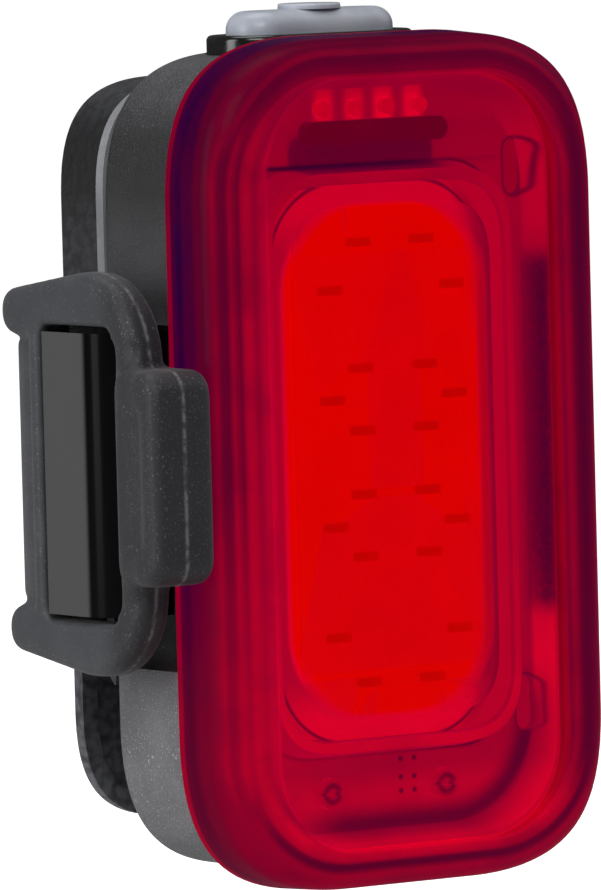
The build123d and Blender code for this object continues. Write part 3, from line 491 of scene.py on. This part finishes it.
def build_red_lens():
    """Clear red plastic. Its glow is painted light: the bands of light that its rim catches from the panel,
    and the tone of its side walls.
    """
    material, tree, shader, place = fresh_material("red_lens")
    across, ahead, high = axes(tree, place)
    forward = in_mm(tree, ahead, -1.0)
    deep = maths(tree, "MULTIPLY", outline(tree, place, lens_edge), -1.0)
    to_right = mapped(tree, across, -6.0 * mm, 9.0 * mm)
    to_low = mapped(tree, high, 2.0 * mm, -19.0 * mm)
    to_end = mapped(tree, maths(tree, "ABSOLUTE", high), 21.5 * mm, 27.0 * mm)

    def rim(*stops):
        return ramp(tree, deep, 0.0, 5.0, [(at, steady(level)) for at, level in stops])

    # painted bands of light from the lens's edge inward, for each side of it
    left_high = rim((0.3, 0.13), (0.75, 0.24), (1.05, 0.09), (1.4, 0.09), (1.75, 0.3), (1.95, 0.2),
                    (2.35, 0.09), (2.7, 0.3), (3.05, 0.37), (3.35, 0.33), (3.8, 0.21), (4.2, 0.3),
                    (4.4, 0.37))
    left_low = rim((0.3, 0.2), (0.75, 0.31), (1.05, 0.2), (1.4, 0.24), (1.75, 0.38), (1.95, 0.36),
                   (2.35, 0.3), (2.8, 0.42), (3.05, 0.43), (3.35, 0.4), (3.8, 0.33), (4.4, 0.42))
    rightward = rim((0.3, 0.45), (0.8, 0.2), (1.4, 0.11), (2.4, 0.07), (2.9, 0.1), (3.3, 0.22), (3.6, 0.27),
                    (3.9, 0.18), (4.3, 0.16), (4.6, 0.2))
    top = rim((0.1, 0.25), (0.3, 0.1), (0.8, 0.1), (1.1, 0.18), (1.3, 0.17), (1.5, 0.09), (1.9, 0.09),
              (2.4, 0.13), (2.7, 0.14), (2.82, 0.24), (3.4, 0.2))
    bottom = rim((0.2, 0.27), (0.7, 0.2), (1.35, 0.27), (1.6, 0.16), (1.85, 0.07), (2.15, 0.1), (2.4, 0.34),
                 (2.9, 0.46), (3.2, 0.54), (3.5, 0.42), (3.8, 0.19))
    sides = blended(tree, to_right, blended(tree, to_low, left_high, left_low), rightward)
    front = blended(tree, to_end, sides, blended(tree, to_low, top, bottom))
    # painted light and shade on the side wall of the lens, by how far forward
    side = ramp(tree, forward, 17.0, 24.0, [
        (17.5, steady(0.2)), (17.95, steady(0.2)), (18.15, steady(0.02, 0.03)),
        (19.0, steady(0.01, 0.035)), (19.5, steady(0.025, 0.03)), (20.4, steady(0.025, 0.03)),
        (21.0, steady(0.085)), (21.6, steady(0.07)), (22.2, steady(0.13)),
    ])
    low_side = ramp(tree, forward, 17.0, 24.0, [
        (17.5, steady(0.27)), (17.95, steady(0.27)), (18.2, steady(0.08)), (19.0, steady(0.065)),
        (20.0, steady(0.12)), (21.0, steady(0.13)), (22.0, steady(0.2)),
    ])
    side = blended(tree, to_low, side, low_side)
    glow = blended(tree, mapped(tree, deep, 0.35, 0.75), side, front)
    cloud = noise_value(tree, place, 150.0, 3.0, 0.6)
    glow = blended(tree, mapped(tree, cloud, 0.42, 0.72, 0.0, 0.4), glow, steady(0.06))
    in_rim = mapped(tree, outline(tree, beside(tree, place, 0.3), lens_window), -0.45, 0.15)
    glow = blended(tree, in_rim, (0.0, 0.0, 0.0), glow)
    tree.links.new(glow, shader.inputs["Emission Color"])
    shader.inputs["Emission Strength"].default_value = 1.0
    shade = blended(tree, mapped(tree, cloud, 0.35, 0.7, 0.0, 0.3), (0.98, 0.0, 0.1), (0.88, 0.0, 0.1))
    tree.links.new(blended(tree, in_rim, shade, (0.02, 0.0, 0.004)), shader.inputs["Base Color"])
    shader.inputs["Transmission Weight"].default_value = 1.0
    shader.inputs["IOR"].default_value = 1.07
    shader.inputs["Coat Weight"].default_value = 0.01
    shader.inputs["Coat Roughness"].default_value = 0.12
    scuffs = noise_value(tree, place, 500.0, 4.0, 0.65)
    satin_rim = maths(tree, "MULTIPLY_ADD", in_rim, 0.42, mapped(tree, scuffs, 0.5, 0.8, 0.03, 0.08))
    tree.links.new(satin_rim, shader.inputs["Roughness"])
    ripple = noise_value(tree, place, 160.0, 1.0)
    bumped(tree, shader, ripple, 0.05, 0.2)
    clear = tree.nodes.new("ShaderNodeBsdfTransparent")
    clear.inputs["Color"].default_value = (0.95, 0.02, 0.05, 1.0)
    rays = tree.nodes.new("ShaderNodeLightPath")
    mixed = tree.nodes.new("ShaderNodeMixShader")
    tree.links.new(rays.outputs["Is Shadow Ray"], mixed.inputs[0])
    tree.links.new(shader.outputs[0], mixed.inputs[1])
    tree.links.new(clear.outputs[0], mixed.inputs[2])
    tree.links.new(mixed.outputs[0], tree.nodes["Material Output"].inputs["Surface"])
    return material


red_lens = build_red_lens()


def bump_at(tree, value, middle, reach):
    """One at a place along a value, fading to nothing at a distance from it."""
    away = maths(tree, "ABSOLUTE", maths(tree, "SUBTRACT", value, middle))
    return mapped(tree, away, 0.0, reach, 1.0, 0.0)


def build_tray_plastic():
    """Tray behind the lens: satin plastic with a painted glow as if lit, painted shade along its seams, and
    soft painted shade.
    """
    material, tree, shader, place = fresh_material("tray_plastic")
    across, ahead, high = axes(tree, place)
    x, forward = in_mm(tree, across), in_mm(tree, ahead, -1.0)
    z = maths(tree, "SUBTRACT", in_mm(tree, high), light_middle)
    wide = maths(tree, "ABSOLUTE", x)
    cloud = noise_value(tree, place, 160.0, 3.0)

    def along(*stops):
        return ramp(tree, z, -30.0, 30.0, [(at, steady(level, behind_lens)) for at, level in stops])

    def times(first, second):
        return maths(tree, "MULTIPLY", first, second)

    # painted light: the floor, walls and platform glow at levels set by height
    floor = along((-27.0, 0.46), (-24.0, 0.45), (-22.6, 0.34), (-21.7, 0.36), (-15.0, 0.31), (15.0, 0.31),
                  (21.0, 0.3), (24.0, 0.26), (25.2, 0.3), (27.0, 0.26))
    # painted shade under the baffle, and four painted blobs of light from the charge lamps
    baffle_shade = mapped(tree, maths(tree, "ABSOLUTE", maths(tree, "ADD", x, 0.8)), 5.4, 6.8, 1.0, 0.0)
    baffle_shade = times(baffle_shade, bump_at(tree, z, 22.3, 1.9))
    floor = blended(tree, mapped(tree, baffle_shade, 0.0, 0.35), floor, steady(0.095, behind_lens))
    lamps = maths(tree, "PINGPONG", maths(tree, "ADD", x, 4.0 * lamp_half_pitch), lamp_half_pitch)
    lamps = maths(tree, "ABSOLUTE", maths(tree, "SUBTRACT", lamps, lamp_half_pitch))
    lamps = times(mapped(tree, lamps, 0.35, 1.25, 1.0, 0.0), mapped(tree, wide, 4.9, 5.3, 1.0, 0.0))
    lamps = times(lamps, times(mapped(tree, z, 24.5, 24.9), mapped(tree, z, 25.9, 27.9, 1.0, 0.0)))
    floor = blended(tree, lamps, floor, steady(0.75, behind_lens))
    wall = along((-20.0, 0.64), (-12.0, 0.58), (-8.0, 0.3), (13.0, 0.3), (16.5, 0.44), (23.0, 0.42),
                 (26.5, 0.24))
    on_wall = mapped(tree, outline(tree, place, tray_floor), -0.05, 0.15)
    glow = blended(tree, on_wall, floor, wall)
    platform = outline(tree, place, platform_edge)
    raised = along((-21.0, 0.54), (-12.0, 0.44), (10.0, 0.4), (21.0, 0.36))
    glow = blended(tree, mapped(tree, forward, 20.3, 20.42), glow, raised)
    glow = blended(tree, mapped(tree, cloud, 0.4, 0.75, 0.0, 0.3), glow, steady(0.16, behind_lens))
    # painted shade along the seams: the top edge of the platform, its foot, the slots, and six dots by the
    # screws
    edge = times(bump_at(tree, z, 21.45, 0.35), mapped(tree, x, 2.0, 8.5, 1.0, 0.25))
    edge = times(edge, mapped(tree, wide, 11.2, 11.6, 1.0, 0.0))
    foot = times(bump_at(tree, platform, 0.0, 0.25), mapped(tree, x, -2.0, 8.0, 0.35, 0.75))
    rims = maths(tree, "MINIMUM", outline(tree, beside(tree, place, slot_x, high_slot_z, True), slot_edge),
                 outline(tree, beside(tree, place, slot_x, low_slot_z, True), slot_edge))
    seam_shade = maths(tree, "MAXIMUM", edge, foot)
    seam_shade = maths(tree, "MAXIMUM", seam_shade, times(bump_at(tree, rims, 0.05, 0.25), 0.75))
    dots = maths(tree, "MAXIMUM", bump_at(tree, x, 1.4, 0.3), bump_at(tree, x, 2.6, 0.3))
    rows = [bump_at(tree, z, row, 0.3) for row in (-22.05, -23.4, -24.4)]
    rows = maths(tree, "MAXIMUM", rows[0], maths(tree, "MAXIMUM", rows[1], rows[2]))
    seam_shade = maths(tree, "MAXIMUM", seam_shade, mapped(tree, times(dots, rows), 0.15, 0.4, 0.0, 0.8))
    # painted soft shade: down the right wall, and a curved one round the lower right
    shade = mapped(tree, maths(tree, "ABSOLUTE", maths(tree, "SUBTRACT", z, 1.2)), 12.0, 14.0, 1.0, 0.0)
    shade = times(bump_at(tree, x, 14.25, 1.6), shade)
    shade = times(times(shade, mapped(tree, forward, 19.6, 21.8, 1.0, 0.0)), 0.95)
    shade = times(shade, mapped(tree, noise_value(tree, place, 2600.0, 3.0), 0.3, 0.55, 0.8, 1.0))
    curve = outline(tree, place, tray_fold)
    bend = times(bump_at(tree, curve, -0.5, 1.9), mapped(tree, z, -15.0, -19.5))
    bend = times(bend, mapped(tree, x, -10.0, -3.0))
    dark = maths(tree, "MAXIMUM", seam_shade, maths(tree, "MAXIMUM", shade, times(bend, 0.85)))
    # the painted shade darkens both the glow and the base colour
    glow = blended(tree, times(dark, 0.96), glow, steady(0.02, behind_lens))
    tree.links.new(glow, shader.inputs["Emission Color"])
    shader.inputs["Emission Strength"].default_value = 1.0
    tree.links.new(blended(tree, dark, (0.06, 0.0, 0.02), (0.01, 0.01, 0.02)), shader.inputs["Base Color"])
    tree.links.new(mapped(tree, cloud, 0.3, 0.7, 0.4, 0.55), shader.inputs["Roughness"])
    return material


tray_plastic = build_tray_plastic()


def glowing(name, colour, glow, strength, rough=0.4):
    """A lit piece: slightly uneven glow."""
    material, tree, shader, place = fresh_material(name)
    cloud = noise_value(tree, place, 300.0, 3.0)
    shader.inputs["Base Color"].default_value = (*colour, 1.0)
    tree.links.new(mapped(tree, cloud, 0.3, 0.7, rough - 0.05, rough + 0.08), shader.inputs["Roughness"])
    dim = tuple(channel * 0.93 for channel in glow)
    tree.links.new(blended(tree, mapped(tree, cloud, 0.3, 0.7), dim, glow), shader.inputs["Emission Color"])
    shader.inputs["Emission Strength"].default_value = strength
    return material


def build_panel(name, alpha, level):
    """Panel face or silicone: red inside a soft outline, painted pink light round it, a thin dark line
    outside, and painted shadow by the gel's right side.
    """
    material, tree, shader, place = fresh_material(name)
    across, _, high = axes(tree, place)
    cloud = noise_value(tree, place, 260.0, 3.0)
    gel = outline(tree, beside(tree, place, -0.75, 0.15), gel_edge)
    window = outline(tree, beside(tree, place, -1.05), panel_window)
    to_top = mapped(tree, high, -12.0 * mm, 12.0 * mm)
    # painted pink light on the board round the gel, brighter low down and darker beside the gel
    band = blended(tree, to_top, steady(0.69, behind_lens), steady(0.6, behind_lens))
    down_sides = mapped(tree, maths(tree, "ABSOLUTE", high), 15.0 * mm, 19.0 * mm, 1.0, 0.0)
    beside_gel = maths(tree, "MULTIPLY", down_sides, mapped(tree, gel, 0.1, 0.5))
    band = blended(tree, beside_gel, band, steady(0.39, behind_lens))
    tone = blended(tree, mapped(tree, window, 0.0, 0.5), band, steady(0.45, behind_lens))
    # the dark line at the window's edge, widened on the right by a painted shadow beside the gel
    line = bump_at(tree, window, 0.0, 0.24)
    to_right = mapped(tree, across, 5.0 * mm, 8.0 * mm, 0.0, 0.85)
    soft = maths(tree, "MULTIPLY", bump_at(tree, window, 0.0, 0.75), to_right)
    tone = blended(tree, maths(tree, "MAXIMUM", line, soft), tone, steady(0.1, behind_lens))
    tone = blended(tree, mapped(tree, gel, -0.25, 0.2), steady(level, 0.0), tone)
    tone = blended(tree, mapped(tree, cloud, 0.4, 0.8, 0.0, 0.06), tone, steady(0.3, 0.0))
    tree.links.new(tone, shader.inputs["Emission Color"])
    shader.inputs["Emission Strength"].default_value = 1.0
    shader.inputs["Base Color"].default_value = (0.02, 0.0, 0.0, 1.0)
    shader.inputs["Alpha"].default_value = alpha
    tree.links.new(mapped(tree, cloud, 0.3, 0.7, 0.4, 0.5), shader.inputs["Roughness"])
    return material


panel_silicone = build_panel("panel_silicone", 0.47, 0.7)
panel_face = build_panel("panel_face", 1.0, 0.7)
chip_face = glowing("chip_face", (0.01, 0.0, 0.0), (1.0, 0.0, 0.0), 0.01)
gauge_clear = glowing("gauge_clear", (0.05, 0.01, 0.01), (1.0, 0.0, 0.3), 0.56, 0.25)
# the baffle is no lamp: its faint glow is painted light
baffle_dark = glowing("baffle_dark", (0.02, 0.0, 0.01), (1.0, 0.0, 1.2), 0.12)


def speckled(name, colour, other, rough, metal=0.0, scale=900.0, strength=0.2, coat=0.0, lit=0.0):
    """Plain hard material with an uneven tone and a fine surface, and a painted red glow of strength lit.
    """
    material, tree, shader, place = fresh_material(name)
    cloud = noise_value(tree, place, scale, 4.0, 0.6)
    tone = blended(tree, mapped(tree, cloud, 0.35, 0.65), colour, other)
    tree.links.new(tone, shader.inputs["Base Color"])
    shader.inputs["Metallic"].default_value = metal
    shader.inputs["Coat Weight"].default_value = coat
    # painted red glow: the piece is no lamp
    shader.inputs["Emission Color"].default_value = (*steady(1.0, 0.6), 1.0)
    shader.inputs["Emission Strength"].default_value = lit
    tree.links.new(mapped(tree, cloud, 0.3, 0.7, rough - 0.05, rough + 0.1), shader.inputs["Roughness"])
    bumped(tree, shader, noise_value(tree, place, scale * 5.0, 2.0), strength, 0.03)
    return material


bezel_gloss = speckled("bezel_gloss", (0.008, 0.008, 0.009), (0.014, 0.014, 0.015), 0.16, scale=700.0,
                       strength=0.08)
screw_steel = speckled("screw_steel", (0.55, 0.55, 0.56), (0.7, 0.7, 0.71), 0.3, metal=1.0)
# the main board's glow is painted red light
board_green = speckled("board_green", (0.01, 0.10, 0.04), (0.015, 0.14, 0.06), 0.35, coat=0.4, lit=0.3)
epoxy_black = speckled("epoxy_black", (0.015, 0.015, 0.015), (0.03, 0.03, 0.03), 0.5)
plunger_white = speckled("plunger_white", (0.6, 0.6, 0.57), (0.72, 0.72, 0.7), 0.4)
socket_plate = speckled("socket_plate", (0.62, 0.62, 0.62), (0.75, 0.75, 0.75), 0.22, metal=1.0)
cell_foil = speckled("cell_foil", (0.5, 0.5, 0.52), (0.68, 0.68, 0.7), 0.35, metal=0.9, scale=400.0)
guard_tape = speckled("guard_tape", (0.55, 0.35, 0.06), (0.65, 0.45, 0.1), 0.3, coat=0.5)
lead_red = speckled("lead_red", (0.4, 0.02, 0.02), (0.5, 0.04, 0.03), 0.45)


def build_lit_screw():
    """Tray screws: heads with painted light like the tray's, and a painted shade ring for the recess."""
    material, tree, shader, place = fresh_material("screw_lit")
    cloud = noise_value(tree, place, 900.0, 3.0)
    ring = outline(tree, beside(tree, place, screw_x, screw_z, True), screw_recess)
    dark = bump_at(tree, ring, 0.15, 0.4)
    shader.inputs["Metallic"].default_value = 1.0
    tree.links.new(blended(tree, mapped(tree, cloud, 0.35, 0.65), (0.05, 0.02, 0.02), (0.1, 0.05, 0.05)),
                   shader.inputs["Base Color"])
    glow = blended(tree, dark, steady(0.4, behind_lens), steady(0.12, behind_lens))
    tree.links.new(glow, shader.inputs["Emission Color"])
    shader.inputs["Emission Strength"].default_value = 1.0
    tree.links.new(mapped(tree, cloud, 0.3, 0.7, 0.3, 0.45), shader.inputs["Roughness"])
    return material


screw_lit = build_lit_screw()


def build_button_silicone():
    """Frosted pale silicone, a little see-through at its edges."""
    material, tree, shader, place = fresh_material("button_silicone")
    cloud = noise_value(tree, place, 350.0, 3.0)
    tone = blended(tree, mapped(tree, cloud, 0.3, 0.7), (0.40, 0.43, 0.49), (0.48, 0.51, 0.57))
    tree.links.new(tone, shader.inputs["Base Color"])
    shader.inputs["Subsurface Weight"].default_value = 0.6
    shader.inputs["Subsurface Radius"].default_value = (1.0 * mm, 1.0 * mm, 1.2 * mm)
    shader.inputs["Subsurface Scale"].default_value = 1.0
    frost = noise_value(tree, place, 3000.0)
    tree.links.new(mapped(tree, frost, 0.3, 0.7, 0.3, 0.42), shader.inputs["Roughness"])
    bumped(tree, shader, noise_value(tree, place, 3800.0, 2.0), 0.12, 0.03)
    return material


button_silicone = build_button_silicone()

# Which material each piece has

FINISH = {
    "lens_cover": red_lens, "lens_seal": black_rubber, "front_housing": housing_grain,
    "clip_block": clip_pebble, "clip_gasket": grey_gasket, "clip_screws": screw_steel,
    "reflector_tray": tray_plastic, "tray_screws": screw_lit, "board_screws": screw_steel,
    "panel_board": panel_face, "panel_chips": chip_face, "panel_gel": panel_silicone,
    "panel_leads": lead_red, "gauge_lamps": gauge_clear, "gauge_pipes": gauge_clear,
    "gauge_baffle": baffle_dark, "main_board": board_green, "board_packages": epoxy_black,
    "switch_body": epoxy_black, "switch_plunger": plunger_white, "socket_shell": socket_plate,
    "socket_tongue": epoxy_black, "battery_cell": cell_foil, "battery_guard": guard_tape,
    "battery_pad": black_rubber, "battery_leads": lead_red, "button_bezel": bezel_gloss,
    "button_cap": button_silicone, "port_door": black_rubber, "door_anchor": black_rubber,
    "strap_bracket": bracket_plastic, "post_pad": black_rubber,
    "strap_band": strap_rubber, "strap_head": strap_rubber,
}
for node, material in FINISH.items():
    mesh = nodes[node].data
    mesh.materials.clear()
    mesh.materials.append(material)

# The strap, as one piece of rubber that bends where its loose end swings out

# The turning line in the frame, the bend that it lies on, and how far round the bend it comes, in radians
bend_centre = Vector((-15.1 * mm, -5.5 * mm, 0.0))
strap_radius, strap_thick, strap_wide = 5.4 * mm, 1.6 * mm, 19.0 * mm
hinge_turn, strip_reach = 2.5322, 0.32
# Where the pull tab grows out of the ring, in millimetres: out to the side, forward, and half its height
slope_side, slope_start, slope_end, slope_height = 21.3, 15.4, 21.2, 9.8
# Moulding line round the front of the rings, in millimetres: to the side, half its width, where it starts
seam_side, seam_half_width, seam_start = 20.5, 0.16, 5.8


def bridge_strip():
    """Short curved strip that closes the strap at its turning line."""
    calm()
    start = hinge_turn - strip_reach
    spot = bend_centre + strap_radius * Vector((cos(start), sin(start), 0))
    bpy.ops.mesh.primitive_plane_add(size=1.0, location=spot, rotation=(pi / 2, 0, start))
    strip = bpy.context.object
    strip.scale = (strap_thick, strap_wide, 1.0)
    settle(strip)
    bpy.ops.object.mode_set(mode="EDIT")
    bpy.ops.mesh.select_all(action="SELECT")
    bpy.ops.mesh.spin(steps=10, angle=2 * strip_reach, center=bend_centre, axis=(0, 0, 1))
    bpy.ops.mesh.select_all(action="SELECT")
    bpy.ops.mesh.remove_doubles(threshold=same_spot)
    bpy.ops.mesh.normals_make_consistent(inside=False)
    bpy.ops.object.mode_set(mode="OBJECT")
    return strip


def make_strap():
    """Rubber strap: rings, ears, pull tab and band in one moulding."""
    strip = bridge_strip()
    halves = [copy_of("strap_head", "strap_left"), copy_of("strap_band", "strap_right")]
    strap = join([*halves, strip], "rubber_strap")
    remesh = strap.modifiers.new("skin", "REMESH")
    remesh.mode = "VOXEL"
    remesh.voxel_size = 0.24 * mm
    smooth = strap.modifiers.new("soften", "SMOOTH")
    smooth.factor = 0.5
    smooth.iterations = 14
    finish_modifiers(strap)
    # the tab grows out of the ring in a long soft slope
    slope = strap.vertex_groups.new(name="slope")
    for vertex in strap.data.vertices:
        ahead, out, high = -vertex.co.y / mm, -vertex.co.x / mm, abs(vertex.co.z) / mm
        if out > slope_side and slope_start < ahead < slope_end and high < slope_height:
            slope.add([vertex.index], min(1.0, ahead - slope_start, slope_end - ahead), "REPLACE")
    ease = strap.modifiers.new("ease", "SMOOTH")
    ease.factor = 0.6
    ease.iterations = 90
    ease.vertex_group = "slope"
    finish_modifiers(strap)
    bpy.ops.object.shade_smooth()
    mesh = strap.data
    mesh.materials.clear()
    mesh.materials.append(strap_rubber)
    mesh.attributes.new("rest_place", "FLOAT_VECTOR", "POINT")
    mesh.attributes.new("moulding_line", "FLOAT", "POINT")
    rest, line = mesh.attributes["rest_place"], mesh.attributes["moulding_line"]
    for index, vertex in enumerate(mesh.vertices):
        rest.data[index].vector = vertex.co
        away = abs(abs(vertex.co.x) - seam_side * mm)
        facing = 1.0 - min(1.0, abs(vertex.normal.x) * 1.4)
        on_ring = vertex.co.y < -seam_start * mm
        line.data[index].value = max(0.0, 1.0 - away / (seam_half_width * mm)) * facing if on_ring else 0.0
    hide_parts("strap_head", "strap_band")
    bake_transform(strap)


make_strap()

# Camera at the photograph's angle, with a long lens

view_turn, view_rise, view_roll = radians(-35.0), radians(4.0), radians(-1.5)
focal_px, view_distance, sensor_mm = 10650.0, 0.776, 36.0
picture_width, picture_height = 601.0, 890.0
aim = Vector((0.0, -17.2 * mm, light_middle * mm))
aim_px = Vector((368.0, 457.8))
back = Vector((sin(view_turn) * cos(view_rise), -cos(view_turn) * cos(view_rise), sin(view_rise)))
right = Vector((cos(view_turn), sin(view_turn), 0.0))
up = back.cross(right)
right, up = right * cos(view_roll) + up * sin(view_roll), up * cos(view_roll) - right * sin(view_roll)
spot = aim + back * view_distance
spot -= right * ((aim_px.x - picture_width / 2) / focal_px * view_distance)
spot += up * ((aim_px.y - picture_height / 2) / focal_px * view_distance)
camera = bpy.data.objects.new("camera", bpy.data.cameras.new("camera"))
bpy.context.scene.collection.objects.link(camera)
camera.matrix_world = Matrix.Translation(spot) @ Matrix((right, up, back)).transposed().to_4x4()
camera.data.sensor_width = sensor_mm
camera.data.lens = focal_px / picture_height * sensor_mm
camera.data.clip_start = 0.01
bpy.context.scene.camera = camera

# Floor, low enough that the opened door stays above it

floor_drop = 42.0 * mm
calm()
bpy.ops.mesh.primitive_plane_add(size=6.0, location=(0, 0, -floor_drop))
floor = bpy.context.object
floor.name = "floor"
paper, tree, shader, _ = fresh_material("paper")
shader.inputs["Roughness"].default_value = 0.9
shader.inputs["Specular IOR Level"].default_value = 0.0
seen = tree.nodes.new("ShaderNodeLightPath").outputs["Is Camera Ray"]
tree.links.new(blended(tree, seen, (0.55, 0.55, 0.55), (0.5, 0.5, 0.5)), shader.inputs["Base Color"])
tree.links.new(blended(tree, seen, (0.0, 0.0, 0.0), (1.0, 1.0, 1.0)), shader.inputs["Emission Color"])
shader.inputs["Emission Strength"].default_value = 1.0
floor.data.materials.append(paper)

# Soft lights and a white surround

light_target = Vector((0.0, -10.0 * mm, 0.0))


def soft_light(name, place, size, power):
    """Rectangular soft light turned toward the middle of the object."""
    data = bpy.data.lights.new(name, "AREA")
    data.shape = "RECTANGLE"
    data.size, data.size_y = size
    data.energy = power
    lamp = bpy.data.objects.new(name, data)
    bpy.context.scene.collection.objects.link(lamp)
    lamp.location = place
    lamp.rotation_euler = (light_target - Vector(place)).to_track_quat("-Z", "Y").to_euler()


soft_light("key", (-0.35, -0.45, 0.45), (0.35, 0.35), 2.4)
soft_light("side", (-0.55, 0.05, 0.10), (0.2, 0.5), 1.7)
soft_light("fill", (0.5, -0.12, 0.35), (0.4, 0.5), 0.6)
soft_light("over", (0.0, 0.10, 0.55), (0.4, 0.3), 1.2)

world = bpy.data.worlds.new("studio")
bpy.context.scene.world = world
world.use_nodes = True
tree = world.node_tree
sky = tree.nodes["Background"]
sky.inputs["Color"].default_value = (0.9, 0.9, 0.9, 1.0)
sky.inputs["Strength"].default_value = 0.07
white = tree.nodes.new("ShaderNodeBackground")
white.inputs["Color"].default_value = (1.0, 1.0, 1.0, 1.0)
seen = tree.nodes.new("ShaderNodeLightPath").outputs["Is Camera Ray"]
mixed = tree.nodes.new("ShaderNodeMixShader")
tree.links.new(seen, mixed.inputs[0])
tree.links.new(sky.outputs[0], mixed.inputs[1])
tree.links.new(white.outputs[0], mixed.inputs[2])
tree.links.new(mixed.outputs[0], tree.nodes["World Output"].inputs["Surface"])
bpy.context.scene.view_settings.view_transform = "Standard"
